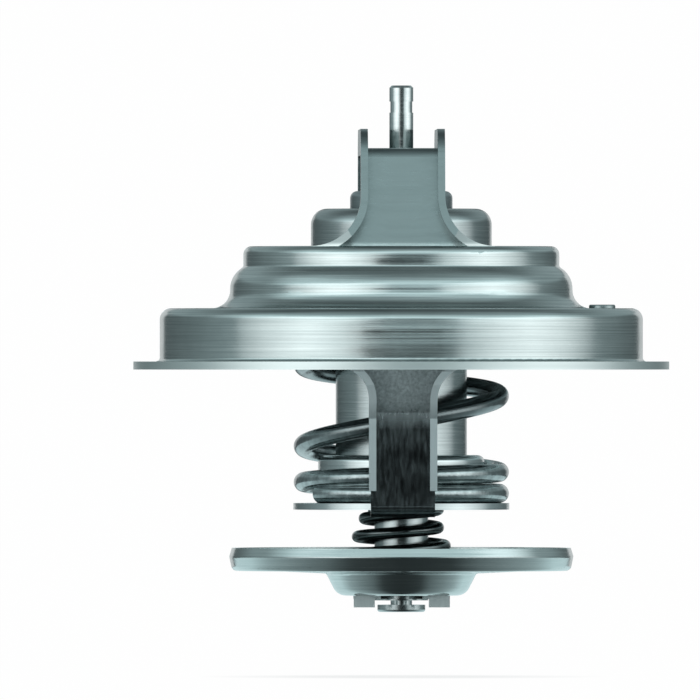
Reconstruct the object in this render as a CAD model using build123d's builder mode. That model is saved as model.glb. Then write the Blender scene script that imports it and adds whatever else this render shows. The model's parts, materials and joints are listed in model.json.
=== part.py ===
from build123d import *
from math import cos, pi, radians, sin
import os

# Engine thermostat: a wax element in a stamped two-part frame, with a bypass disc.
# Millimetres. The origin is the centre of the flange's underside, where the housing
# clamps it. +Z runs up the axis to the bridge and the pin. The legs stand at -Y and +Y.

# Clearances
fixed_clearance = 0.02
running_clearance = 0.05
rubber_gap = 0.3

# Flange and stepped dome, drawn from one sheet
frame_sheet = 1.0
flange_radius = 33.5
flange_width = 3.3
shoulder_width = 8.8
bead_width = 1.65
crown_width = 4.75
shoulder_height = 7.65
bead_rise = 5.2
crown_rise = 2.55
bead_fall = 1.25
flange_root_fillet = 0.5
shoulder_edge_fillet = 1.4
bead_foot_fillet = 2.3
bead_edge_fillet = 3.0
crown_foot_fillet = 0.4
crown_edge_fillet = 1.0

# Bridge over the valve, a channel with its flanges turned outwards
bridge_sheet = 0.9
bridge_half_width = 5.25
bridge_flange_top = 30.0
bridge_flange_depth = 2.4
bridge_lean = 2.8
bridge_corner_radius = 0.5
bridge_flare_radius = 6.2
bridge_edge_gap = 0.75

# Fixed pin
pin_radius = 1.5
pin_show = 5.5
pin_bottom = -4.0
pin_chamfer = 0.3
stake_groove_depth = 0.12
stake_groove_height = 1.4
stake_groove_drop = 2.0

# Wax element: cup, crimped head and stem
cup_gap = 2.2
cup_wall = 1.0
cup_floor = 1.2
cup_bottom = -15.5
cup_foot_radius = 1.2
cup_corner_fillet = 0.25
head_gap = 3.7
head_height = 5.7
head_edge_radius = 2.0
head_foot_fillet = 0.5
crimp_width = 4.1
neck_gap = 0.8
neck_rise = 2.2
neck_edge_radius = 0.9
stem_radius = 3.375
stem_groove_radius = 2.6
stem_neck_radius = 1.35
stem_collar = 0.2
stem_end_radius = 3.0
stem_end_drop = 1.15
stem_end_height = 0.9
boot_flange_thickness = 1.2
boot_wall = 1.4
boot_floor = 1.5
boot_corner_radius = 0.7
backup_ring_radius = 3.4
backup_ring_thickness = 1.0

# Main valve
plate_sheet = 1.0
plate_overhang = 0.2
plate_step_gap = 0.8
plate_step_drop = 1.4
plate_step_bend = 0.7
plate_rim_bend = 0.35
seal_edge_gap = 0.75
seal_width = 2.8
seal_edge_fillet = 0.28

# Main spring and its seat
main_wire = 2.4
main_spring_gap = 0.95
main_spring_turns = 4.9
main_spring_start = 214
main_spring_lean = 0.05
seat_sheet = 0.8
seat_overhang = 0.05
seat_brim_top = -16.7
seat_crown_gap = 0.65
seat_rise = 6.0
seat_foot_bend = 0.4
seat_crown_bend = 0.85

# Lower frame: ring, collar pressed into the drum, and two legs
lower_sheet = 0.9
ring_bottom = 0.3
ring_edge_gap = 0.9
collar_height = 2.5
collar_bend_radius = 1.6
leg_half_width = 4.25
leg_gap = 0.5
leg_set_in = 5.6
leg_knee_height = -4.9
leg_flange_depth = 2.2
leg_flange_rise = 1.6
leg_flare_radius = 4.0
leg_root_bend = 1.5
leg_knee_bend = 1.5
foot_half_width = 4.0
foot_grip = 2.1
foot_bend = 0.45

# Bypass valve
disc_sheet = 0.9
disc_radius = 21.5
disc_face = -25.15
disc_rim_height = 2.85
disc_rim_lean = 0.3
disc_lean_height = 1.0
disc_land_width = 5.0
disc_dip = 0.35
disc_tuck = 0.35
disc_tuck_height = 1.7
disc_tuck_bend = 1.0
disc_edge_radius = 0.7
disc_dip_fillet = 0.45
bowl_mouth_radius = 9.4
bowl_slope = 1.4
bowl_depth = 2.75
bowl_foot_radius = 1.7
bypass_wire = 1.4
bypass_turns = 6.0
bypass_start = 28
bypass_wide_radius = 5.5
bypass_narrow_radius = 4.65

# Clip on the stem
clip_sheet = 0.4
clip_radius = 6.0
clip_ear_drop = 1.05

# Vent pin in the shoulder, a little in front of the X axis
vent_turn = -17
vent_foot_gap = 0.75
vent_hole_radius = 1.2
vent_head_radius = 1.65
vent_head_thickness = 0.45
vent_head_fillet = 0.2
vent_stem_radius = 0.7
vent_travel = 1.0
vent_weight_radius = 1.6
vent_weight_height = 1.6
vent_weight_chamfer = 0.5

# Spring winding, in turns
closing_start = 0.35
closing_end = 1.35
opening_below = 1.5
opening_above = 1.15
opening_ease = 0.5
leaning_below = 1.4
leaning_ease = 0.5
narrowing_start = 0.4
narrowing_end = 0.95
points_per_turn = 12
ramp_samples = 40


def sheet_section(corners, radii, thickness, side):
    """Section of a bent sheet: the line of one surface, thickened to one side."""
    with BuildSketch() as section:
        with BuildLine():
            FilletPolyline(*corners, radius=radii)
            offset(amount=thickness, side=side)
        make_face()
    return section.sketch


def turned_section(corners, radii):
    """Closed section of a turned or moulded piece."""
    with BuildSketch() as section:
        with BuildLine():
            FilletPolyline(*corners, radius=radii, close=True)
        make_face()
    return section.sketch


def flared_outline(half_width, flare, root_height, end_height):
    """Front outline of a leg: straight sides that flare out to meet its root."""
    grows = 1 if end_height > root_height else -1
    flare_height = root_height + grows * flare
    with BuildSketch() as outline:
        with BuildLine():
            sides = []
            for side in (-1, 1):
                Line((side * half_width, end_height), (side * half_width, flare_height))
                sides.append(
                    RadiusArc(
                        (side * half_width, flare_height),
                        (side * (half_width + flare), root_height),
                        -side * grows * flare,
                    )
                )
            Line((-half_width, end_height), (half_width, end_height))
            Line(sides[0] @ 1, sides[1] @ 1)
        make_face()
    return outline.sketch


def eased(value, start, end):
    """Rise from 0 to 1 between start and end, level at both ends."""
    share = min(max((value - start) / (end - start), 0), 1)
    return (1 - cos(pi * share)) / 2


def steady(value, start, end, ease):
    """Rise from 0 to 1 at an even rate, rounded over ease at both ends."""
    level = 0
    for sample in range(ramp_samples):
        shift = ease * ((sample + 0.5) / ramp_samples - 0.5)
        share = (value - start + shift) / (end - start)
        level += min(max(share, 0), 1) / ramp_samples
    return level


def coil_points(turns, start, low, high, closed_pitch, radius_at, lean):
    """Wire centres of a right-handed spring with a closed turn at each end."""
    free_height = high - low - 2 * closed_pitch
    points = []
    count = round(turns * points_per_turn)
    for step in range(count + 1):
        turn = turns * step / count
        angle = radians(start + 360 * turn)
        radius = radius_at(turn)
        from_top = turns - turn
        closed = eased(turn, closing_start, closing_end)
        closed += 1 - eased(from_top, closing_start, closing_end)
        open_share = steady(turn, opening_below, turns - opening_above, opening_ease)
        leaning = eased(turn, leaning_below, leaning_below + leaning_ease)
        leaning -= 1 - eased(from_top, leaning_below, leaning_below + leaning_ease)
        height = low + closed_pitch * closed + free_height * open_share
        height += lean * leaning * radius * cos(angle)
        points.append((radius * cos(angle), radius * sin(angle), height))
    return points


# Radii and levels that follow from the sizes above, from the flange inwards
drum_radius = flange_radius - flange_width
drum_bore = drum_radius - frame_sheet
bead_radius = drum_radius - shoulder_width
crown_radius = bead_radius - bead_width
seat_opening_radius = crown_radius - crown_width
bead_height = shoulder_height + bead_rise
crown_height = bead_height + crown_rise
crown_underside = crown_height - frame_sheet
bridge_web_top = bridge_flange_top - bridge_flange_depth
bridge_web_underside = bridge_web_top - bridge_sheet
bridge_foot_reach = seat_opening_radius
bridge_head_reach = bridge_foot_reach - bridge_lean
bridge_trim_radius = crown_radius - bridge_edge_gap
pin_top = bridge_flange_top + pin_show
stake_groove_top = pin_top - stake_groove_drop
stake_groove_bottom = stake_groove_top - stake_groove_height

seal_outer_radius = crown_radius - frame_sheet - seal_edge_gap
seal_inner_radius = seal_outer_radius - seal_width
plate_radius = seal_outer_radius + plate_overhang
plate_step_radius = seal_inner_radius - plate_step_gap
main_spring_outer_radius = plate_step_radius - main_spring_gap
seat_brim_radius = main_spring_outer_radius + seat_overhang
seat_brim_bottom = seat_brim_top - seat_sheet
seat_crown_radius = main_spring_outer_radius - main_wire - seat_crown_gap
seat_crown_top = seat_brim_top + seat_rise

cup_radius = seat_crown_radius - cup_gap
cup_bore = cup_radius - cup_wall
cup_cavity_bottom = cup_bottom + cup_floor
seat_bore = cup_radius + running_clearance
head_radius = seat_opening_radius - head_gap
head_underside = crown_underside
head_top = head_underside + head_height
crimp_lip_radius = head_radius - crimp_width
guide_flange_radius = head_radius - cup_wall - running_clearance
guide_flange_top = head_top - cup_wall
guide_bore = pin_radius + running_clearance
neck_radius = crimp_lip_radius - neck_gap
neck_top = head_top + neck_rise
boot_flange_bottom = head_underside + cup_wall
boot_flange_top = boot_flange_bottom + boot_flange_thickness
boot_bore = pin_radius + rubber_gap
boot_radius = boot_bore + boot_wall
boot_cavity_bottom = pin_bottom - rubber_gap
boot_bottom = boot_cavity_bottom - boot_floor
plate_land_bottom = head_underside - plate_sheet
plate_rim_top = head_underside - plate_step_drop

ring_top = ring_bottom + lower_sheet
collar_top = ring_bottom + collar_height + lower_sheet
leg_reach = seat_brim_radius + leg_gap
leg_root_reach = leg_reach + leg_set_in
ring_inner_radius = leg_root_reach + ring_edge_gap
leg_flange_end = seat_brim_top + leg_flange_rise
foot_reach = seat_brim_radius - foot_grip

disc_rim_top = disc_face + disc_rim_height
disc_land_radius = disc_radius - disc_land_width
disc_belly = disc_face - disc_dip
bowl_floor_radius = bowl_mouth_radius - bowl_slope
bowl_bottom = disc_belly - bowl_depth
clip_top = bowl_bottom
clip_bottom = clip_top - clip_sheet
stem_end_top = bowl_bottom - stem_end_drop
stem_end_bottom = stem_end_top - stem_end_height

vent_reach = bead_radius + bead_foot_fillet + vent_foot_gap + vent_head_radius
vent_centre = (vent_reach * cos(radians(vent_turn)), vent_reach * sin(radians(vent_turn)))
vent_stem_length = frame_sheet + vent_travel

# The channels and cuts are taken from blocks that reach well past the piece
beyond = flange_radius

# Bridge: a deep band bent over the valve, cut to the flared front outline, with the
# channel between its two flanges taken out
bridge_line = [
    (-bridge_foot_reach, crown_underside),
    (-bridge_head_reach, bridge_web_underside),
    (bridge_head_reach, bridge_web_underside),
    (bridge_foot_reach, crown_underside),
]
bridge_radii = [bridge_corner_radius, bridge_corner_radius]
bridge_band = sheet_section(
    bridge_line, bridge_radii, bridge_sheet + bridge_flange_depth, Side.LEFT
)
bridge_web = sheet_section(bridge_line, bridge_radii, bridge_sheet, Side.LEFT)
bridge_space = sheet_section(
    bridge_line, bridge_radii, bridge_sheet + 2 * bridge_flange_depth, Side.LEFT
)

with BuildPart() as bridge_channel:
    with BuildSketch(Plane.YZ):
        add(bridge_space)
        add(bridge_web, mode=Mode.SUBTRACT)
    extrude(amount=beyond, both=True)
    with BuildSketch(Plane.XZ):
        add(
            flared_outline(
                bridge_half_width - bridge_sheet,
                bridge_flare_radius + bridge_sheet,
                crown_underside + frame_sheet - bridge_sheet,
                pin_top,
            )
        )
    extrude(amount=beyond, both=True, mode=Mode.INTERSECT)

with BuildPart() as bridge:
    with BuildSketch(Plane.YZ):
        add(bridge_band)
    extrude(amount=beyond, both=True)
    with BuildSketch(Plane.XZ):
        add(
            flared_outline(
                bridge_half_width, bridge_flare_radius, crown_height, pin_top
            )
        )
        with Locations((0, crown_height - frame_sheet / 2)):
            Rectangle(2 * (bridge_half_width + bridge_flare_radius), frame_sheet)
    extrude(amount=beyond, both=True, mode=Mode.INTERSECT)
    with BuildSketch(Plane.XY.offset(crown_underside)):
        Circle(bridge_trim_radius)
    extrude(amount=pin_top, mode=Mode.INTERSECT)
    add(bridge_channel.part, mode=Mode.SUBTRACT)

# Upper frame: flange, drum, bead, crown with the valve seat, and the bridge
dome_line = [
    (flange_radius, frame_sheet),
    (drum_radius, frame_sheet),
    (drum_radius, shoulder_height),
    (bead_radius, shoulder_height),
    (bead_radius, bead_height - bead_fall),
    (crown_radius, bead_height),
    (crown_radius, crown_height),
    (seat_opening_radius, crown_height),
]
dome_radii = [
    flange_root_fillet,
    shoulder_edge_fillet,
    bead_foot_fillet,
    bead_edge_fillet,
    crown_foot_fillet,
    crown_edge_fillet,
]
with BuildPart() as upper_frame:
    with BuildSketch(Plane.XZ):
        add(sheet_section(dome_line, dome_radii, frame_sheet, Side.LEFT))
    revolve(axis=Axis.Z)
    add(bridge.part)
    with BuildSketch(Plane.XY.offset(bridge_web_underside)):
        Circle(pin_radius + fixed_clearance)
    extrude(amount=bridge_flange_depth + bridge_sheet, mode=Mode.SUBTRACT)
    with BuildSketch(Plane.XY):
        with Locations(vent_centre):
            Circle(vent_hole_radius)
    extrude(amount=shoulder_height + frame_sheet, mode=Mode.SUBTRACT)
upper_frame.part.label = "upper_frame"
export_step(upper_frame.part, "parts/upper_frame.step")

# Lower frame legs: the same channel form, bent in below the ring and hooked at the foot
leg_line = [
    (-ring_inner_radius - lower_sheet, ring_top),
    (-leg_root_reach, ring_top),
    (-leg_reach, leg_knee_height),
    (-leg_reach, seat_brim_bottom),
    (-foot_reach, seat_brim_bottom),
]
leg_radii = [leg_root_bend, leg_knee_bend, foot_bend]
leg_web = sheet_section(leg_line, leg_radii, lower_sheet, Side.RIGHT)
leg_band = sheet_section(
    leg_line[:4], leg_radii[:2], lower_sheet + leg_flange_depth, Side.RIGHT
)
leg_space = sheet_section(
    leg_line[:4], leg_radii[:2], lower_sheet + 2 * leg_flange_depth, Side.RIGHT
)

with BuildPart() as leg_channel:
    with BuildSketch(Plane.YZ):
        add(leg_space)
        add(leg_web, mode=Mode.SUBTRACT)
    extrude(amount=beyond, both=True)
    with BuildSketch(Plane.XZ):
        add(
            flared_outline(
                leg_half_width - lower_sheet,
                leg_flare_radius + lower_sheet,
                ring_bottom + lower_sheet,
                stem_end_bottom,
            )
        )
    extrude(amount=beyond, both=True, mode=Mode.INTERSECT)

with BuildPart() as leg:
    with BuildSketch(Plane.YZ):
        add(leg_band)
    extrude(amount=beyond, both=True)
    with BuildSketch(Plane.XZ):
        add(
            flared_outline(leg_half_width, leg_flare_radius, ring_bottom, stem_end_bottom)
        )
        with Locations((0, ring_bottom + lower_sheet / 2)):
            Rectangle(2 * (leg_half_width + leg_flare_radius), lower_sheet)
    extrude(amount=beyond, both=True, mode=Mode.INTERSECT)
    add(leg_channel.part, mode=Mode.SUBTRACT)
    with BuildSketch(Plane.XY.offset(leg_flange_end)):
        Rectangle(2 * beyond, 2 * beyond)
    extrude(amount=stem_end_bottom, mode=Mode.SUBTRACT)
    with BuildSketch(Plane.YZ):
        add(leg_web)
        with Locations((0, leg_flange_end)):
            Rectangle(
                2 * beyond,
                2 * beyond,
                align=(Align.CENTER, Align.MIN),
                mode=Mode.SUBTRACT,
            )
    extrude(amount=foot_half_width, both=True)

ring_line = [
    (ring_inner_radius, ring_bottom),
    (drum_bore - fixed_clearance, ring_bottom),
    (drum_bore - fixed_clearance, collar_top),
]
with BuildPart() as lower_frame:
    with BuildSketch(Plane.XZ):
        add(sheet_section(ring_line, [collar_bend_radius], lower_sheet, Side.LEFT))
    revolve(axis=Axis.Z)
    add(leg.part)
    add(mirror(leg.part, about=Plane.XZ, mode=Mode.PRIVATE))
lower_frame.part.label = "lower_frame"
export_step(lower_frame.part, "parts/lower_frame.step")

# Spring seat: brim under the spring, crown inside it, and the bore that guides the cup
seat_line = [
    (seat_brim_radius, seat_brim_top),
    (seat_crown_radius, seat_brim_top),
    (seat_crown_radius, seat_crown_top),
    (seat_bore, seat_crown_top),
]
with BuildPart() as spring_seat:
    with BuildSketch(Plane.XZ):
        add(
            sheet_section(
                seat_line, [seat_foot_bend, seat_crown_bend], seat_sheet, Side.LEFT
            )
        )
    revolve(axis=Axis.Z)
spring_seat.part.label = "spring_seat"
export_step(spring_seat.part, "parts/spring_seat.step")

# Pin: fixed in the bridge, with a shallow staking groove above it
with BuildPart() as piston_pin:
    with BuildSketch(Plane.XY.offset(pin_bottom)):
        Circle(pin_radius)
    extrude(amount=pin_top - pin_bottom)
    chamfer(piston_pin.faces().filter_by(Axis.Z).edges(), pin_chamfer)
    with BuildSketch(Plane.XY.offset(stake_groove_bottom)):
        Circle(pin_radius + stake_groove_depth)
        Circle(pin_radius - stake_groove_depth, mode=Mode.SUBTRACT)
    extrude(amount=stake_groove_top - stake_groove_bottom, mode=Mode.SUBTRACT)
piston_pin.part.label = "piston_pin"
export_step(piston_pin.part, "parts/piston_pin.step")

# Element cup: drawn body, head crimped over the guide, stem with a clip groove and end
cup_section = [
    (0, stem_end_bottom),
    (stem_end_radius, stem_end_bottom),
    (stem_end_radius, stem_end_top),
    (stem_neck_radius, stem_end_top),
    (stem_neck_radius, clip_bottom - stem_collar),
    (stem_radius, clip_bottom - stem_collar),
    (stem_radius, clip_bottom),
    (stem_groove_radius, clip_bottom),
    (stem_groove_radius, clip_top),
    (stem_radius, clip_top),
    (stem_radius, cup_bottom),
    (cup_radius, cup_bottom),
    (cup_radius, head_underside),
    (head_radius, head_underside),
    (head_radius, head_top),
    (crimp_lip_radius, head_top),
    (crimp_lip_radius, guide_flange_top),
    (guide_flange_radius + fixed_clearance, guide_flange_top),
    (guide_flange_radius + fixed_clearance, boot_flange_bottom),
    (cup_bore, boot_flange_bottom),
    (cup_bore, cup_cavity_bottom),
    (0, cup_cavity_bottom),
]
cup_corner_radii = {
    (cup_radius, cup_bottom): cup_foot_radius,
    (head_radius, head_top): head_edge_radius,
    (head_radius, head_underside): head_foot_fillet,
    (cup_bore, boot_flange_bottom): cup_corner_fillet,
    (stem_end_radius, stem_end_bottom): pin_chamfer,
}
with BuildPart() as element_cup:
    with BuildSketch(Plane.XZ):
        add(
            turned_section(
                cup_section, [cup_corner_radii.get(corner, 0) for corner in cup_section]
            )
        )
    revolve(axis=Axis.Z)
element_cup.part.label = "element_cup"
export_step(element_cup.part, "parts/element_cup.step")

# Guide: flange under the crimp, neck above it, bore for the pin
guide_section = [
    (guide_bore, boot_flange_top + backup_ring_thickness),
    (backup_ring_radius + fixed_clearance, boot_flange_top + backup_ring_thickness),
    (backup_ring_radius + fixed_clearance, boot_flange_top),
    (guide_flange_radius, boot_flange_top),
    (guide_flange_radius, guide_flange_top),
    (neck_radius, guide_flange_top),
    (neck_radius, neck_top),
    (guide_bore, neck_top),
]
with BuildPart() as element_guide:
    with BuildSketch(Plane.XZ):
        add(turned_section(guide_section, [0, 0, 0, 0, 0, 0, neck_edge_radius, pin_chamfer]))
    revolve(axis=Axis.Z)
element_guide.part.label = "element_guide"
export_step(element_guide.part, "parts/element_guide.step")

# Boot: rubber sleeve round the pin, with a flange clamped under the guide
boot_section = [
    (0, boot_bottom),
    (boot_radius, boot_bottom),
    (boot_radius, boot_flange_bottom),
    (guide_flange_radius, boot_flange_bottom),
    (guide_flange_radius, boot_flange_top),
    (boot_bore, boot_flange_top),
    (boot_bore, boot_cavity_bottom),
    (0, boot_cavity_bottom),
]
with BuildPart() as rubber_boot:
    with BuildSketch(Plane.XZ):
        add(turned_section(boot_section, [0, boot_corner_radius, boot_corner_radius, 0, 0, 0, 0, 0]))
    revolve(axis=Axis.Z)
rubber_boot.part.label = "rubber_boot"
export_step(rubber_boot.part, "parts/rubber_boot.step")

# Wax: fills the cup round the boot
wax_radius = cup_bore - running_clearance
wax_section = [
    (0, cup_cavity_bottom + running_clearance),
    (wax_radius, cup_cavity_bottom + running_clearance),
    (wax_radius, boot_flange_bottom - cup_wall),
    (boot_radius + running_clearance, boot_flange_bottom - cup_wall),
    (boot_radius + running_clearance, boot_bottom - running_clearance),
    (0, boot_bottom - running_clearance),
]
with BuildPart() as wax_charge:
    with BuildSketch(Plane.XZ):
        add(turned_section(wax_section, 0))
    revolve(axis=Axis.Z)
wax_charge.part.label = "wax_charge"
export_step(wax_charge.part, "parts/wax_charge.step")

# Back-up ring: sits in the guide's counterbore, on the boot's flange
with BuildPart() as backup_ring:
    with BuildSketch(Plane.XY.offset(boot_flange_top)):
        Circle(backup_ring_radius)
        Circle(guide_bore, mode=Mode.SUBTRACT)
    extrude(amount=backup_ring_thickness)
backup_ring.part.label = "backup_ring"
export_step(backup_ring.part, "parts/backup_ring.step")

# Valve plate: land under the element's head, step that centres the spring, rim
plate_line = [
    (cup_radius + fixed_clearance, head_underside),
    (plate_step_radius, head_underside),
    (plate_step_radius, plate_rim_top),
    (plate_radius, plate_rim_top),
]
with BuildPart() as valve_plate:
    with BuildSketch(Plane.XZ):
        add(
            sheet_section(
                plate_line, [plate_step_bend, plate_rim_bend], plate_sheet, Side.RIGHT
            )
        )
    revolve(axis=Axis.Z)
valve_plate.part.label = "valve_plate"
export_step(valve_plate.part, "parts/valve_plate.step")

# Seal: rubber ring on the plate's rim, closing against the crown's underside
with BuildPart() as valve_seal:
    with BuildSketch(Plane.XY.offset(plate_rim_top)):
        Circle(seal_outer_radius)
        Circle(seal_inner_radius, mode=Mode.SUBTRACT)
    extrude(amount=plate_step_drop)
    fillet(
        valve_seal.edges().filter_by(GeomType.CIRCLE).group_by(Axis.Z)[-1],
        seal_edge_fillet,
    )
valve_seal.part.label = "valve_seal"
export_step(valve_seal.part, "parts/valve_seal.step")

# Main spring, from the seat's brim up to the valve plate's land
main_coil_points = coil_points(
    main_spring_turns,
    main_spring_start,
    seat_brim_top + main_wire / 2,
    plate_land_bottom - main_wire / 2,
    main_wire + running_clearance,
    lambda turn: main_spring_outer_radius - main_wire / 2,
    main_spring_lean,
)
with BuildPart() as main_spring:
    with BuildLine() as main_coil:
        Spline(*main_coil_points)
    with BuildSketch(Plane(origin=main_coil.line @ 0, z_dir=main_coil.line % 0)):
        Circle(main_wire / 2)
    sweep(is_frenet=True)
main_spring.part.label = "main_spring"
export_step(main_spring.part, "parts/main_spring.step")


def bypass_radius_at(turn):
    """Wide in the disc's bowl, narrow under the cup."""
    middle = bypass_turns / 2
    narrowing = eased(turn, middle + narrowing_start, middle + narrowing_end)
    return bypass_wide_radius - (bypass_wide_radius - bypass_narrow_radius) * narrowing


# Bypass spring, from the disc's bowl up to the cup's underside
bypass_coil_points = coil_points(
    bypass_turns,
    bypass_start,
    bowl_bottom + disc_sheet + bypass_wire / 2,
    cup_bottom - bypass_wire / 2,
    bypass_wire + running_clearance,
    bypass_radius_at,
    0,
)
with BuildPart() as bypass_spring:
    with BuildLine() as bypass_coil:
        Spline(*bypass_coil_points)
    with BuildSketch(Plane(origin=bypass_coil.line @ 0, z_dir=bypass_coil.line % 0)):
        Circle(bypass_wire / 2)
    sweep(is_frenet=True)
bypass_spring.part.label = "bypass_spring"
export_step(bypass_spring.part, "parts/bypass_spring.step")

# Bypass disc: dish with a flat closing land, a slight belly and a bowl for the spring
disc_line = [
    (disc_radius, disc_rim_top),
    (disc_radius, disc_face + disc_tuck_height),
    (disc_radius - disc_tuck, disc_face),
    (disc_land_radius, disc_face),
    (bowl_mouth_radius, disc_belly),
    (bowl_floor_radius, bowl_bottom),
    (stem_radius + running_clearance, bowl_bottom),
]
with BuildPart() as bypass_disc:
    with BuildSketch(Plane.XZ):
        add(
            sheet_section(
                disc_line,
                [
                    disc_tuck_bend,
                    disc_edge_radius,
                    disc_edge_radius,
                    disc_dip_fillet,
                    bowl_foot_radius,
                ],
                disc_sheet,
                Side.RIGHT,
            )
        )
    revolve(axis=Axis.Z)
    chamfer(
        bypass_disc.edges().filter_by(GeomType.CIRCLE).group_by(Axis.Z)[-1].sort_by(SortBy.RADIUS)[-1],
        disc_rim_lean,
        disc_lean_height,
        reference=bypass_disc.faces().sort_by(Axis.Z)[-1],
    )
bypass_disc.part.label = "bypass_disc"
export_step(bypass_disc.part, "parts/bypass_disc.step")

# Clip: horseshoe in the stem's groove, with two ears bent down at its open side
clip_bore = stem_groove_radius + fixed_clearance
clip_ear_reach = (clip_radius**2 - stem_radius**2) ** 0.5 - clip_sheet
with BuildPart() as retaining_clip:
    with BuildSketch(Plane.XY.offset(clip_bottom)):
        Circle(clip_radius)
        with Locations((0, -clip_radius - clip_ear_reach + clip_sheet / 2)):
            Rectangle(2 * clip_radius, 2 * clip_radius, mode=Mode.SUBTRACT)
        Circle(clip_bore, mode=Mode.SUBTRACT)
        with Locations((0, -clip_radius / 2)):
            Rectangle(2 * clip_bore, clip_radius, mode=Mode.SUBTRACT)
    extrude(amount=clip_sheet)
    with BuildSketch(Plane.XY.offset(clip_top)):
        for side in (-1, 1):
            with Locations((side * (stem_radius + clip_radius) / 2, -clip_ear_reach)):
                Rectangle(clip_radius - stem_radius, clip_sheet)
    extrude(amount=-clip_sheet - clip_ear_drop)
retaining_clip.part.label = "retaining_clip"
export_step(retaining_clip.part, "parts/retaining_clip.step")

# Vent pin: head on the shoulder, stem through its hole, weight below
with BuildPart() as jiggle_pin:
    with BuildSketch(Plane.XY.offset(shoulder_height)):
        with Locations(vent_centre):
            Circle(vent_head_radius)
    extrude(amount=vent_head_thickness)
    with BuildSketch(Plane.XY.offset(shoulder_height)):
        with Locations(vent_centre):
            Circle(vent_stem_radius)
    extrude(amount=-vent_stem_length)
    with BuildSketch(Plane.XY.offset(shoulder_height - vent_stem_length)):
        with Locations(vent_centre):
            Circle(vent_weight_radius)
    extrude(amount=-vent_weight_height)
    chamfer(
        jiggle_pin.edges().filter_by(GeomType.CIRCLE).group_by(Axis.Z)[0],
        vent_weight_chamfer,
    )
    fillet(
        jiggle_pin.edges().filter_by(GeomType.CIRCLE).group_by(Axis.Z)[-1],
        vent_head_fillet,
    )
jiggle_pin.part.label = "jiggle_pin"
export_step(jiggle_pin.part, "parts/jiggle_pin.step")
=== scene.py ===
import json
from math import cos, pi, radians, sin, tan

import bpy
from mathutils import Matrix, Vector


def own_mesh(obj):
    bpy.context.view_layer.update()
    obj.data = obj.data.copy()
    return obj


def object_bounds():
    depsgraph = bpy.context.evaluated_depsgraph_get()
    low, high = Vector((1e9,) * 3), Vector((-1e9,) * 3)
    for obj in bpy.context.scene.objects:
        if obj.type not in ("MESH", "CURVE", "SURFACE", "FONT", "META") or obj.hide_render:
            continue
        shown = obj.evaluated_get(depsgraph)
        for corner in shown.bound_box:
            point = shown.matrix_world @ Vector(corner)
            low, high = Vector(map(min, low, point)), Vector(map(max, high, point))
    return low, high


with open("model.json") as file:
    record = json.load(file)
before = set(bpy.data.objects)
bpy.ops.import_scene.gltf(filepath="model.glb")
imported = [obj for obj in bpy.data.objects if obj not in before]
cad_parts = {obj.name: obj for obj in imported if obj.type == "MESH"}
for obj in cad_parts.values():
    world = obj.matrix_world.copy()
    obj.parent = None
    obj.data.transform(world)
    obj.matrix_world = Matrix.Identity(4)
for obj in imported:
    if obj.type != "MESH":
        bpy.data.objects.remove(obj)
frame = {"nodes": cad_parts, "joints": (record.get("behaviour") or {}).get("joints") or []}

cad_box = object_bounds()
nodes = frame["nodes"]
MM = 0.001


# Shader building

FLAT = (1.0, 1.0, 0.0)
UPRIGHT = (0.0, 0.0, 1.0)
TOWARDS_CAMERA = (0.0, -1.0, 0.0)

# Where a Mix node has its two inputs and its result, for each kind of value
MIX_SOCKETS = {"RGBA": (6, 7, 2), "VECTOR": (4, 5, 1)}


def add_node(tree, kind, **settings):
    """One shader node, with its settings."""
    made = tree.nodes.new(kind)
    for name, value in settings.items():
        setattr(made, name, value)
    return made


def feed(tree, socket, value):
    """Gives a socket its value, from another socket or as a plain one."""
    if isinstance(value, bpy.types.NodeSocket):
        tree.links.new(value, socket)
    else:
        socket.default_value = value


def math_node(tree, operation, *values):
    """A Math node fed by sockets or plain numbers; gives its output."""
    made = add_node(tree, "ShaderNodeMath", operation=operation)
    for socket, value in zip(made.inputs, values):
        feed(tree, socket, value)
    return made.outputs[0]


def vector_node(tree, operation, *values, scale=None):
    """A Vector Math node fed by sockets or plain vectors; gives its output."""
    made = add_node(tree, "ShaderNodeVectorMath", operation=operation)
    for socket, value in zip(made.inputs, values):
        feed(tree, socket, value)
    if scale is not None:
        feed(tree, made.inputs["Scale"], scale)
    output = "Value" if operation in ("LENGTH", "DOT_PRODUCT") else "Vector"
    return made.outputs[output]


def object_place(tree):
    """The shaded point, in the object's own measure."""
    return add_node(tree, "ShaderNodeTexCoord").outputs["Object"]


def parts_of(tree, vector):
    """The X, Y and Z outputs of a vector."""
    split = add_node(tree, "ShaderNodeSeparateXYZ")
    tree.links.new(vector, split.inputs[0])
    return split.outputs


def away_from_axis(tree, place):
    """The level direction from the axis to a point, one unit long."""
    return vector_node(tree, "NORMALIZE", vector_node(tree, "MULTIPLY", place, FLAT))


def noise(tree, place, scale, detail, roughness=0.5, along=None):
    """A noise texture's value at a point, in four dimensions where along gives the fourth."""
    dimensions = "3D" if along is None else "4D"
    made = add_node(tree, "ShaderNodeTexNoise", noise_dimensions=dimensions)
    feed(tree, made.inputs["Vector"], place)
    feed(tree, made.inputs["Scale"], scale)
    feed(tree, made.inputs["Detail"], detail)
    feed(tree, made.inputs["Roughness"], roughness)
    if along is not None:
        feed(tree, made.inputs["W"], along)
    return made.outputs["Fac"]


def spread(tree, value, low, high, to_low, to_high):
    """Maps a value from one span to another, held at both ends."""
    made = add_node(tree, "ShaderNodeMapRange", clamp=True)
    feed(tree, made.inputs["Value"], value)
    feed(tree, made.inputs["From Min"], low)
    feed(tree, made.inputs["From Max"], high)
    feed(tree, made.inputs["To Min"], to_low)
    feed(tree, made.inputs["To Max"], to_high)
    return made.outputs["Result"]


def spread_noise(tree, value, to_low, to_high):
    """Maps the span that a noise mostly keeps to, held at both ends."""
    return spread(tree, value, 0.3, 0.7, to_low, to_high)


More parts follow.
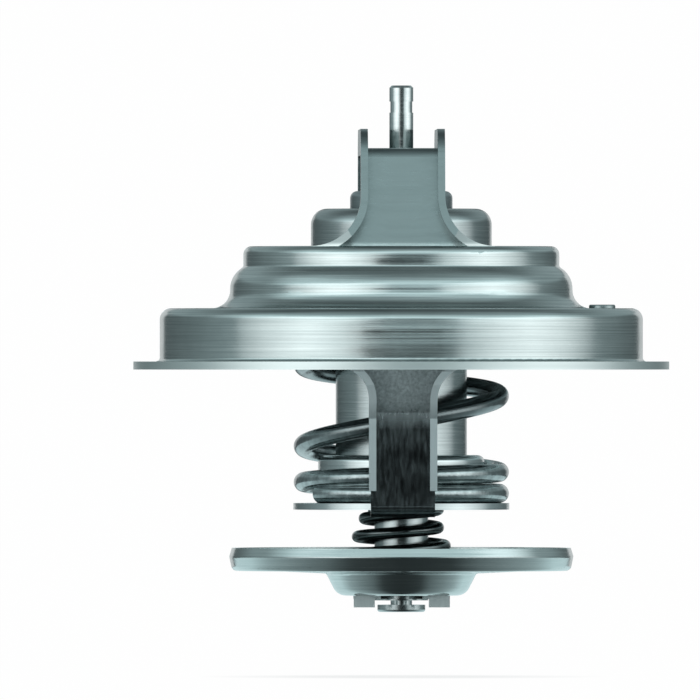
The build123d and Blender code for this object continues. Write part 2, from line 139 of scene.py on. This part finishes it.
def level_ramp(tree, value, stops, interpolation="LINEAR"):
    """A ramp of grey levels, given as (position, level)."""
    made = add_node(tree, "ShaderNodeValToRGB")
    ramp = made.color_ramp
    ramp.interpolation = interpolation
    ramp.elements[0].position = stops[0][0]
    ramp.elements[1].position = stops[-1][0]
    for position, _ in stops[1:-1]:
        ramp.elements.new(position)
    for element, (_, level) in zip(ramp.elements, stops):
        element.color = (level, level, level, 1.0)
    tree.links.new(value, made.inputs[0])
    return made.outputs["Color"]


def mixed(tree, factor, first, second, kind="RGBA", blend="MIX"):
    """A mix of two colours or two vectors."""
    made = add_node(tree, "ShaderNodeMix", data_type=kind, blend_type=blend)
    input_first, input_second, output = MIX_SOCKETS[kind]
    feed(tree, made.inputs["Factor"], factor)
    feed(tree, made.inputs[input_first], first)
    feed(tree, made.inputs[input_second], second)
    return made.outputs[output]


def mixed_shader(tree, factor, first, second):
    """A mix of two shaders; gives its output."""
    made = add_node(tree, "ShaderNodeMixShader")
    tree.links.new(factor, made.inputs[0])
    tree.links.new(first, made.inputs[1])
    tree.links.new(second, made.inputs[2])
    return made.outputs[0]


# Patterns that the finishes share

def new_group(name, inputs, outputs):
    """An empty shader group: its tree, its inputs and its outputs."""
    tree = bpy.data.node_groups.new(name, "ShaderNodeTree")
    for label, default in inputs.items():
        socket = tree.interface.new_socket(label, in_out="INPUT", socket_type="NodeSocketFloat")
        socket.default_value = default
    for label in outputs:
        tree.interface.new_socket(label, in_out="OUTPUT", socket_type="NodeSocketFloat")
    entry = add_node(tree, "NodeGroupInput")
    leave = add_node(tree, "NodeGroupOutput")
    return tree, entry.outputs, leave.inputs


def build_turning_marks(defaults):
    """Fine rings round the axis, as a lathe or a drawing die leaves them, and soft stains."""
    tree, given, result = new_group("Turning marks", defaults, ["Rings", "Stain", "Waves"])
    place = object_place(tree)
    height = parts_of(tree, place)["Z"]
    from_axis = vector_node(tree, "LENGTH", vector_node(tree, "MULTIPLY", place, FLAT))
    around = vector_node(tree, "SCALE", away_from_axis(tree, place), scale=given["Unevenness"])
    for spacing, detail, output in (
        ("Rings per metre", 4.0, "Rings"),
        ("Waves per metre", 1.0, "Waves"),
    ):
        lift = add_node(tree, "ShaderNodeCombineXYZ")
        feed(tree, lift.inputs["Z"], math_node(tree, "MULTIPLY", height, given[spacing]))
        spot = vector_node(tree, "ADD", around, lift.outputs[0])
        along = math_node(tree, "MULTIPLY", from_axis, given[spacing])
        tree.links.new(noise(tree, spot, 1.0, detail, 0.6, along), result[output])
    tree.links.new(noise(tree, place, given["Stain scale"], 5.0, 0.55), result["Stain"])
    return tree


def build_rolled_grain(defaults):
    """Grain of cold rolled sheet: short marks along one direction, and soft stains."""
    tree, given, result = new_group("Rolled grain", defaults, ["Grain", "Stain", "Waves"])
    place = object_place(tree)
    squeeze = add_node(tree, "ShaderNodeCombineXYZ")
    feed(tree, squeeze.inputs["X"], 1.0)
    feed(tree, squeeze.inputs["Y"], 1.0)
    feed(tree, squeeze.inputs["Z"], given["Stretch"])
    stretched = vector_node(tree, "MULTIPLY", place, squeeze.outputs[0])
    tree.links.new(noise(tree, stretched, given["Grain scale"], 4.0, 0.65), result["Grain"])
    tree.links.new(noise(tree, place, given["Wave scale"], 1.0), result["Waves"])
    tree.links.new(noise(tree, place, given["Stain scale"], 6.0, 0.6), result["Stain"])
    return tree


def build_cut_edges(defaults):
    """Where the sheet was sheared: 1 past a radius round the axis, or past a reach along Y.

    Above the knee the reach grows with the height, as a leg's sloping part does."""
    tree, given, result = new_group("Cut edges", defaults, ["Cut"])
    place = object_place(tree)
    parts = parts_of(tree, place)
    from_axis = vector_node(tree, "LENGTH", vector_node(tree, "MULTIPLY", place, FLAT))
    past_radius = math_node(tree, "GREATER_THAN", from_axis, given["Radius"])
    rise = math_node(tree, "SUBTRACT", parts["Z"], given["Knee"])
    sloping = math_node(tree, "MULTIPLY", math_node(tree, "MAXIMUM", rise, 0.0), given["Slope"])
    reach = math_node(tree, "ADD", given["Reach"], sloping)
    past_reach = math_node(tree, "GREATER_THAN", math_node(tree, "ABSOLUTE", parts["Y"]), reach)
    tree.links.new(math_node(tree, "MAXIMUM", past_radius, past_reach), result["Cut"])
    return tree


rings = {"Rings per metre": 5200.0, "Waves per metre": 520.0, "Unevenness": 1.2, "Stain scale": 110.0}
grain = {"Grain scale": 2600.0, "Stretch": 0.2, "Stain scale": 260.0, "Wave scale": 260.0}
wire_grain = {"Grain scale": 900.0, "Stretch": 1.0, "Stain scale": 260.0, "Wave scale": 260.0}
never_cut = {"Radius": 1.0, "Reach": 1.0, "Knee": 0.0, "Slope": 0.0}

turning_marks = build_turning_marks(rings)
rolled_grain = build_rolled_grain(grain)
cut_edges = build_cut_edges(never_cut)


# Normals that the mesh's facets only come near to

nearly_radial = 0.996
bend_allowance = 0.2 * MM


def turned_normal(tree, place, normal, turned_below):
    """The normal, but on a turned surface pointing straight away from the axis or at it.

    The mesh's own normals step a little where a turned surface closes on itself."""
    outwards = away_from_axis(tree, place)
    level = vector_node(tree, "MULTIPLY", normal, FLAT)
    lean = vector_node(tree, "LENGTH", level)
    along = vector_node(tree, "DOT_PRODUCT", level, outwards)
    sideways = math_node(tree, "MULTIPLY", lean, math_node(tree, "SIGN", along))
    exact = vector_node(tree, "ADD", vector_node(tree, "SCALE", outwards, scale=sideways),
                        vector_node(tree, "MULTIPLY", normal, UPRIGHT))
    radial = math_node(tree, "GREATER_THAN", math_node(tree, "ABSOLUTE", along),
                       math_node(tree, "MULTIPLY", lean, nearly_radial))
    low = math_node(tree, "LESS_THAN", parts_of(tree, place)["Z"], turned_below)
    return mixed(tree, math_node(tree, "MULTIPLY", radial, low), normal, exact, "VECTOR")


def bend_normal(tree, place, normal, bend):
    """The normal, but on one turned bend of the sheet the exact one.

    The bend is given by its centre's radius and height, by its own radius, and by whether
    it's hollow."""
    outwards = away_from_axis(tree, place)
    centre = vector_node(tree, "ADD", vector_node(tree, "SCALE", outwards, scale=bend["radius"]),
                         (0.0, 0.0, bend["height"]))
    if bend["hollow"]:
        across = vector_node(tree, "SUBTRACT", centre, place)
    else:
        across = vector_node(tree, "SUBTRACT", place, centre)
    reach = vector_node(tree, "LENGTH", across)
    off = math_node(tree, "ABSOLUTE", math_node(tree, "SUBTRACT", reach, bend["bend"]))
    near = math_node(tree, "LESS_THAN", off, bend_allowance)
    facing_up = math_node(tree, "GREATER_THAN", parts_of(tree, across)["Z"], 0.0)
    facing_out = math_node(tree, "GREATER_THAN", vector_node(tree, "DOT_PRODUCT", across, outwards), 0.0)
    on_bend = math_node(tree, "MULTIPLY", near, math_node(tree, "MULTIPLY", facing_up, facing_out))
    return mixed(tree, on_bend, normal, vector_node(tree, "NORMALIZE", across), "VECTOR")


# Materials

cut_roughness = 0.38
bulge_depth = 0.2 * MM
bulge_span = 16 * MM


def new_material(name):
    """An empty material: itself, its tree and its shader."""
    material = bpy.data.materials.new(name)
    material.use_nodes = True
    tree = material.node_tree
    return material, tree, tree.nodes["Principled BSDF"]


def raise_bumps(tree, normal, reliefs):
    """The normal after one bump on another, each given as its height's socket and its depth."""
    for relief, depth in reliefs:
        bump = add_node(tree, "ShaderNodeBump")
        feed(tree, bump.inputs["Distance"], depth)
        feed(tree, bump.inputs["Height"], relief)
        if normal:
            feed(tree, bump.inputs["Normal"], normal)
        normal = bump.outputs[0]
    return normal


def metal(name, group, pattern, bright, dull, roughness, depth, wave_depth=0.0, bareness=1.0,
          cut=None, satin_and_shade=None, bulges=None, bends=(), turned_below=1.0):
    """A bare metal: its marks and stains vary the colour and the gloss and roughen it.

    Where cut gives a radius or a reach, the sheared edge past it is rougher and paler.
    Over a given span of heights the roughness and the shine change: on the dome as where the press stretched
    the sheet; on the legs and on the main spring this is painted shade, a darker colour where their surfaces
    lie in shade. Bulges are the heights where walls swell. Turned metal has exact normals on its bends, and
    below a height all round."""
    material, tree, shader = new_material(name)
    feed(tree, shader.inputs["Metallic"], bareness)
    marks = add_node(tree, "ShaderNodeGroup", node_tree=group)
    for label, value in pattern.items():
        feed(tree, marks.inputs[label], value)
    lines = marks.outputs[0]
    stain = marks.outputs["Stain"]
    place = object_place(tree)
    height = parts_of(tree, place)["Z"]

    shine = math_node(tree, "MULTIPLY", spread_noise(tree, lines, 0.35, 1.0),
                      spread_noise(tree, stain, 0.7, 1.0))
    gloss = math_node(tree, "ADD", spread_noise(tree, lines, -0.04, 0.05),
                      spread_noise(tree, stain, roughness - 0.03, roughness + 0.05))
    if satin_and_shade:
        # 0 to 1 across the span of heights: where the press stretched the dome's sheet, and where painted
        #                                    shade darkens the legs and the main spring
        stretched = spread(tree, height, satin_and_shade["start"], satin_and_shade["end"], 0.0, 1.0)
        shine = math_node(tree, "MULTIPLY", shine,
                          spread(tree, stretched, 0.0, 1.0, 1.0, satin_and_shade["shine"]))
        gloss = math_node(tree, "ADD", gloss,
                          math_node(tree, "MULTIPLY", stretched, satin_and_shade["roughness"]))
        if "bareness" in satin_and_shade:
            feed(tree, shader.inputs["Metallic"],
                 spread(tree, stretched, 0.0, 1.0, satin_and_shade["bareness"], bareness))
    if cut:
        sheared = add_node(tree, "ShaderNodeGroup", node_tree=cut_edges)
        for label, value in cut.items():
            feed(tree, sheared.inputs[label], value)
        edge = sheared.outputs["Cut"]
        shine = math_node(tree, "MAXIMUM", shine, edge)
        gloss = math_node(tree, "MAXIMUM", gloss, math_node(tree, "MULTIPLY", edge, cut_roughness))
    feed(tree, shader.inputs["Base Color"], mixed(tree, shine, (*dull, 1.0), (*bright, 1.0)))
    feed(tree, shader.inputs["Roughness"], gloss)

    normal = None
    if group == turning_marks:
        mesh_normal = add_node(tree, "ShaderNodeNewGeometry").outputs["Normal"]
        normal = turned_normal(tree, place, mesh_normal, turned_below)
    for bend in bends:
        normal = bend_normal(tree, place, normal, bend)
    reliefs = [(marks.outputs["Waves"], wave_depth), (lines, depth)]
    if bulges:
        swell = level_ramp(tree, math_node(tree, "DIVIDE", height, bulge_span), bulges, "B_SPLINE")
        reliefs.insert(0, (swell, bulge_depth))
    feed(tree, shader.inputs["Normal"], raise_bumps(tree, normal, reliefs))
    return material


def plain(name, light, dark, roughness, scale, depth):
    """Rubber, wax or moulded plastic, with a fine uneven surface."""
    material, tree, shader = new_material(name)
    unevenness = noise(tree, object_place(tree), scale, 5.0)
    feed(tree, shader.inputs["Base Color"], mixed(tree, unevenness, (*dark, 1.0), (*light, 1.0)))
    feed(tree, shader.inputs["Roughness"],
         spread_noise(tree, unevenness, roughness - 0.05, roughness + 0.05))
    feed(tree, shader.inputs["Normal"], raise_bumps(tree, None, [(unevenness, depth)]))
    return material


def finish_with(material, *names):
    """Gives the material to every slot of the named CAD nodes."""
    for name in names:
        piece = nodes[name]
        if not piece.material_slots:
            piece.data.materials.append(material)
        for material_slot in piece.material_slots:
            material_slot.material = material


# Finishes

flange_root_bend = {"radius": 30.7 * MM, "height": 1.5 * MM, "bend": 0.5 * MM, "hollow": True}
shoulder_bend = {"radius": 28.8 * MM, "height": 6.25 * MM, "bend": 1.4 * MM, "hollow": False}
dome_bulges = [(0.0, 0.0), (0.285, 1.0), (0.5, 0.0), (0.56, 0.0), (0.645, 0.12), (0.73, 0.0),
               (0.79, 0.0), (0.868, 0.4), (0.95, 0.0)]

finish_with(metal(
    "Drawn dome steel", turning_marks, rings,
    bright=(0.74, 0.80, 0.79), dull=(0.30, 0.35, 0.35), roughness=0.16,
    depth=0.008 * MM, wave_depth=0.14 * MM,
    cut={"Radius": 33.3 * MM, "Reach": 50 * MM},
    satin_and_shade={"start": 15.5 * MM, "end": 16 * MM, "shine": -0.35, "roughness": 0.14},
    bulges=dome_bulges, bends=(flange_root_bend, shoulder_bend), turned_below=15.3 * MM,
), "upper_frame")
finish_with(metal(
    "Stamped leg steel", rolled_grain, grain,
    bright=(0.74, 0.80, 0.81), dull=(0.18, 0.20, 0.205), roughness=0.38,
    depth=0.002 * MM, wave_depth=0.01 * MM,
    cut={"Radius": 50 * MM, "Reach": 16.95 * MM, "Knee": -5.2 * MM, "Slope": 0.9},
    # Painted shade: below the knee the legs' web has a darker colour, a dark reflection put into the colour;
    # up where they flare the sheet is less metallic
    satin_and_shade={"start": -4 * MM, "end": -7.5 * MM, "shine": 0.3, "roughness": -0.25, "bareness": 0.25},
), "lower_frame")
finish_with(metal(
    "Spring seat steel", turning_marks, rings,
    bright=(0.72, 0.77, 0.77), dull=(0.45, 0.51, 0.51), roughness=0.2,
    depth=0.006 * MM, wave_depth=0.04 * MM,
), "spring_seat", "valve_plate")
finish_with(metal(
    "Bypass disc steel", turning_marks, rings,
    bright=(0.66, 0.72, 0.71), dull=(0.42, 0.48, 0.48), roughness=0.16,
    depth=0.005 * MM, wave_depth=0.05 * MM,
), "bypass_disc")
finish_with(metal(
    "Element cup metal", turning_marks, rings,
    bright=(0.56, 0.60, 0.60), dull=(0.28, 0.33, 0.33), roughness=0.2,
    depth=0.006 * MM, wave_depth=0.02 * MM,
), "element_cup")
finish_with(metal(
    "Element guide metal", turning_marks, rings,
    bright=(0.42, 0.47, 0.48), dull=(0.28, 0.33, 0.34), roughness=0.3, depth=0.008 * MM,
), "element_guide")
finish_with(metal(
    "Ground pin steel", turning_marks, rings,
    bright=(0.78, 0.82, 0.81), dull=(0.55, 0.61, 0.61), roughness=0.13, depth=0.003 * MM,
), "piston_pin")
finish_with(metal(
    "Clip steel", rolled_grain, grain,
    bright=(0.88, 0.93, 0.93), dull=(0.7, 0.76, 0.76), roughness=0.55, depth=0.004 * MM,
    bareness=0.2,
), "retaining_clip")
finish_with(metal(
    "Vent pin steel", turning_marks, rings,
    bright=(0.4, 0.45, 0.45), dull=(0.25, 0.3, 0.3), roughness=0.3, depth=0.008 * MM,
), "jiggle_pin")
finish_with(metal(
    "Dark spring wire", rolled_grain, wire_grain,
    bright=(0.52, 0.58, 0.58), dull=(0.15, 0.17, 0.175), roughness=0.16, depth=0.001 * MM,
    # Painted shade: the upper coils, under the frame's flange, have a darker colour than the lower ones
    satin_and_shade={"start": -13 * MM, "end": -6 * MM, "shine": 0.3, "roughness": 0.04},
), "main_spring")
finish_with(metal(
    "Black bypass wire", rolled_grain, wire_grain,
    bright=(0.16, 0.18, 0.18), dull=(0.08, 0.092, 0.094), roughness=0.16, depth=0.001 * MM,
), "bypass_spring")
finish_with(plain(
    "Black rubber", light=(0.035, 0.035, 0.036), dark=(0.018, 0.018, 0.019),
    roughness=0.6, scale=1500.0, depth=0.02 * MM,
), "valve_seal", "rubber_boot")
finish_with(plain(
    "Wax", light=(0.5, 0.34, 0.2), dark=(0.36, 0.22, 0.12),
    roughness=0.5, scale=500.0, depth=0.03 * MM,
), "wax_charge")
finish_with(plain(
    "White ring plastic", light=(0.8, 0.8, 0.77), dark=(0.7, 0.7, 0.67),
    roughness=0.4, scale=900.0, depth=0.01 * MM,
), "backup_ring")


# Each spring that a joint loads gets a mesh of its own

for joint in frame["joints"]:
    for spring in joint.get("deforming_nodes", []):
        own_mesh(nodes[spring["node"]])


# Studio: floor, backdrop, world, lamps and camera

studio_tint = (0.80, 1.0, 1.03, 1.0)
white_level = 0.99
pale_paint = (0.8, 0.8, 0.8, 1.0)


def seen_plainly(tree, path):
    """1 where the camera looks, straight or through something clear."""
    return math_node(tree, "MAXIMUM", path["Is Camera Ray"], path["Is Transmission Ray"])


def bearing_of(tree, way):
    """0 for a direction straight behind the object, 1 for one straight in front."""
    return spread(tree, vector_node(tree, "DOT_PRODUCT", way, TOWARDS_CAMERA), -1.0, 1.0, 0.0, 1.0)


def background_material(name, shade_near, shade_end, mirrored):
    """A pale surface that shows white to the camera, but near the object keeps its shade.

    Metal mirrors it at the mirrored levels, from behind the object round to its front: a painted reflection
    in place of its own light and shade, which on the floor is pale behind the object and dark in front of it.
    Its back is clear, so that it hides nothing from below."""
    material, tree, unused_shader = new_material(name)
    tree.nodes.remove(unused_shader)
    path = add_node(tree, "ShaderNodeLightPath").outputs
    place = object_place(tree)

    matte = add_node(tree, "ShaderNodeBsdfDiffuse")
    feed(tree, matte.inputs["Color"], pale_paint)
    white = add_node(tree, "ShaderNodeEmission")
    shade_start = 10 * MM
    glow = spread(tree, vector_node(tree, "LENGTH", place), shade_start, shade_end, shade_near, white_level)
    shown = mixed_shader(tree, math_node(tree, "MULTIPLY", seen_plainly(tree, path), glow),
                         matte.outputs[0], white.outputs[0])

    # Painted reflection: glossy rays see levels set by bearing instead of the surface's own shading
    mirror = add_node(tree, "ShaderNodeEmission")
    level = level_ramp(tree, bearing_of(tree, vector_node(tree, "NORMALIZE", place)), mirrored)
    feed(tree, mirror.inputs["Color"], mixed(tree, 1.0, level, studio_tint, blend="MULTIPLY"))
    front = mixed_shader(tree, path["Is Glossy Ray"], shown, mirror.outputs[0])

    clear = add_node(tree, "ShaderNodeBsdfTransparent")
    behind = add_node(tree, "ShaderNodeNewGeometry").outputs["Backfacing"]
    feed(tree, tree.nodes["Material Output"].inputs["Surface"],
         mixed_shader(tree, behind, front, clear.outputs[0]))
    return material


# The floor lies below the bypass disc's lowest place, where the open valve pushes it
valve_travel = next(joint["range_m"][1] for joint in frame["joints"] if joint["name"] == "valve_opening")
floor_gap = 0.1 * MM
floor_height = cad_box[0][2] - valve_travel - floor_gap
floor_radius = 0.15
# Painted reflection: the levels metal sees in the floor, from behind the object round to its front, pale
# behind it and nearly black in front
floor_painted_reflection = [(0.0, 0.9), (0.3, 0.9), (0.5, 0.5), (0.69, 0.32), (0.85, 0.2), (0.94, 0.06), (1.0, 0.04)]

bpy.ops.mesh.primitive_circle_add(
    vertices=96, radius=floor_radius, fill_type="NGON", location=(0, 0, floor_height)
)
floor = bpy.context.object
floor.name = "floor"
floor.data.materials.append(
    background_material("Pale floor", shade_near=0.8, shade_end=26 * MM, mirrored=floor_painted_reflection)
)

backdrop_side = 0.24
backdrop_distance = 1.6
backdrop_mirror = [(0.0, 0.97), (1.0, 0.97)]

bpy.ops.mesh.primitive_plane_add(
    size=backdrop_side, location=(0, backdrop_distance, 0), rotation=(radians(90), 0, 0)
)
backdrop = bpy.context.object
backdrop.name = "backdrop"
backdrop.data.materials.append(
    background_material("White backdrop", shade_near=white_level, shade_end=50 * MM, mirrored=backdrop_mirror)
)

# A black card in the gap between the front lamps, where the camera looks through; the camera doesn't see it.
# It stands in for the dark around the camera, so metal shows it as a painted dark reflection
gap_width = 0.26
gap_height = 0.06
gap_distance = 0.4

bpy.ops.mesh.primitive_plane_add(
    size=1.0, location=(0, -gap_distance, 0), rotation=(radians(90), 0, 0)
)
dark_reflection_card = bpy.context.object
dark_reflection_card.name = "lens gap"
dark_reflection_card.scale = (gap_width, gap_height, 1.0)
dark_reflection_card.visible_camera = False
gap_black, gap_tree, gap_shader = new_material("Gap black")
feed(gap_tree, gap_shader.inputs["Base Color"], (0.02, 0.02, 0.02, 1.0))
dark_reflection_card.data.materials.append(gap_black)


def build_world():
    """A grey studio: dark towards the camera and far behind, pale above the front.

    Its levels go from behind the object round to its front. Those at the object's own height
    differ from those a little off it, and the sky's go from there up to straight above."""
    level_stops = [(0.0, 0.10), (0.067, 0.14), (0.25, 0.24), (0.31, 0.27), (0.5, 0.36), (0.93, 0.4),
                   (0.955, 0.24), (0.98, 0.05), (1.0, 0.02)]
    off_level_stops = [(0.0, 0.12), (0.25, 0.24), (0.31, 0.27), (0.5, 0.36), (0.9, 0.55), (1.0, 0.62)]
    sky_stops = [(0.17, 0.55), (0.27, 0.97), (0.5, 0.9), (0.7, 0.55), (0.94, 0.28), (1.0, 0.2)]
    grey_below = (0.25, 0.25, 0.25, 1.0)
    plain_white = (white_level, white_level, white_level, 1.0)

    world = bpy.data.worlds.new("Studio")
    bpy.context.scene.world = world
    world.use_nodes = True
    tree = world.node_tree
    background = tree.nodes["Background"]
    way = add_node(tree, "ShaderNodeTexCoord").outputs["Generated"]
    parts = parts_of(tree, way)
    rise = parts["Z"]
    bearing = bearing_of(tree, away_from_axis(tree, way))
    level = level_ramp(tree, bearing, level_stops)
    off_level = level_ramp(tree, bearing, off_level_stops)
    sky = mixed(tree, 1.0, level_ramp(tree, rise, sky_stops),
                spread(tree, parts["Y"], -0.15, 0.3, 1.0, 0.4), blend="MULTIPLY")
    steepness = math_node(tree, "ABSOLUTE", rise)
    around = mixed(tree, spread(tree, steepness, 0.045, 0.12, 0.0, 1.0), level, off_level)
    upper = mixed(tree, spread(tree, rise, 0.14, 0.28, 0.0, 1.0), around, sky)
    whole = mixed(tree, spread(tree, rise, -0.5, -0.25, 1.0, 0.0), upper, grey_below)
    tinted = mixed(tree, 1.0, whole, studio_tint, blend="MULTIPLY")
    path = add_node(tree, "ShaderNodeLightPath").outputs
    feed(tree, background.inputs["Color"], mixed(tree, seen_plainly(tree, path), tinted, plain_white))
    feed(tree, background.inputs["Strength"], 1.0)


def softbox(name, bearing, distance, width, height, brightness, half_spread):
    """A soft rectangular lamp facing the object, brightest in its middle as seen from there.

    Its bearing and its half spread are in degrees, and the bearing is 0 in front of the
    object and grows to the right."""
    lamp = bpy.data.lights.new(name, "AREA")
    lamp.shape = "RECTANGLE"
    lamp.size = width
    lamp.size_y = height
    lamp.spread = 2 * radians(half_spread)
    narrowing = 1 - radians(half_spread) / tan(radians(half_spread))
    lamp.energy = brightness * pi * width * height * narrowing
    lamp_object = bpy.data.objects.new(name, lamp)
    bpy.context.scene.collection.objects.link(lamp_object)
    lamp_object.visible_camera = False
    turn = radians(bearing)
    lift = radians(lamp_rise)
    place = Vector((sin(turn) * cos(lift), -cos(turn) * cos(lift), sin(lift))) * distance
    lamp_object.location = place
    lamp_object.rotation_euler = (-place).to_track_quat("-Z", "Y").to_euler()


build_world()

lamp_rise = 3
softbox("left softbox", bearing=-47, distance=0.5, width=0.76, height=0.42, brightness=1.2, half_spread=44)
softbox("right softbox", bearing=64, distance=0.5, width=0.80, height=0.42, brightness=1.15, half_spread=44)
softbox("rear left lamp", bearing=-166, distance=0.7, width=0.24, height=0.24, brightness=0.6, half_spread=60)
softbox("rear right lamp", bearing=164, distance=0.7, width=0.24, height=0.24, brightness=0.6, half_spread=60)

# The photograph is 700 pixels wide at 8 pixels a millimetre, its axis at pixel 401, and
# the flange's underside at pixel 369.5
photo_side = 700
pixels_per_mm = 8.0
axis_pixel = 401.3
flange_pixel = 369.5
camera_turn = radians(0.7)
camera_lens = 1600.0
sensor_width = 36.0
camera_reach = 100.0
field_width = photo_side / pixels_per_mm * MM
camera_distance = field_width * camera_lens / sensor_width
aside = (photo_side / 2 - axis_pixel) / pixels_per_mm * MM
above = (flange_pixel - photo_side / 2) / pixels_per_mm * MM

view_way = Vector((sin(camera_turn), cos(camera_turn), 0))
view_right = Vector((cos(camera_turn), -sin(camera_turn), 0))
target = view_right * aside + Vector((0, 0, above))
camera_data = bpy.data.cameras.new("camera")
camera_data.lens = camera_lens
camera_data.sensor_width = sensor_width
camera_data.clip_end = camera_reach
camera = bpy.data.objects.new("camera", camera_data)
bpy.context.scene.collection.objects.link(camera)
camera.location = target - view_way * camera_distance
camera.rotation_euler = view_way.to_track_quat("-Z", "Y").to_euler()
bpy.context.scene.camera = camera
bpy.context.scene.view_settings.view_transform = "Standard"
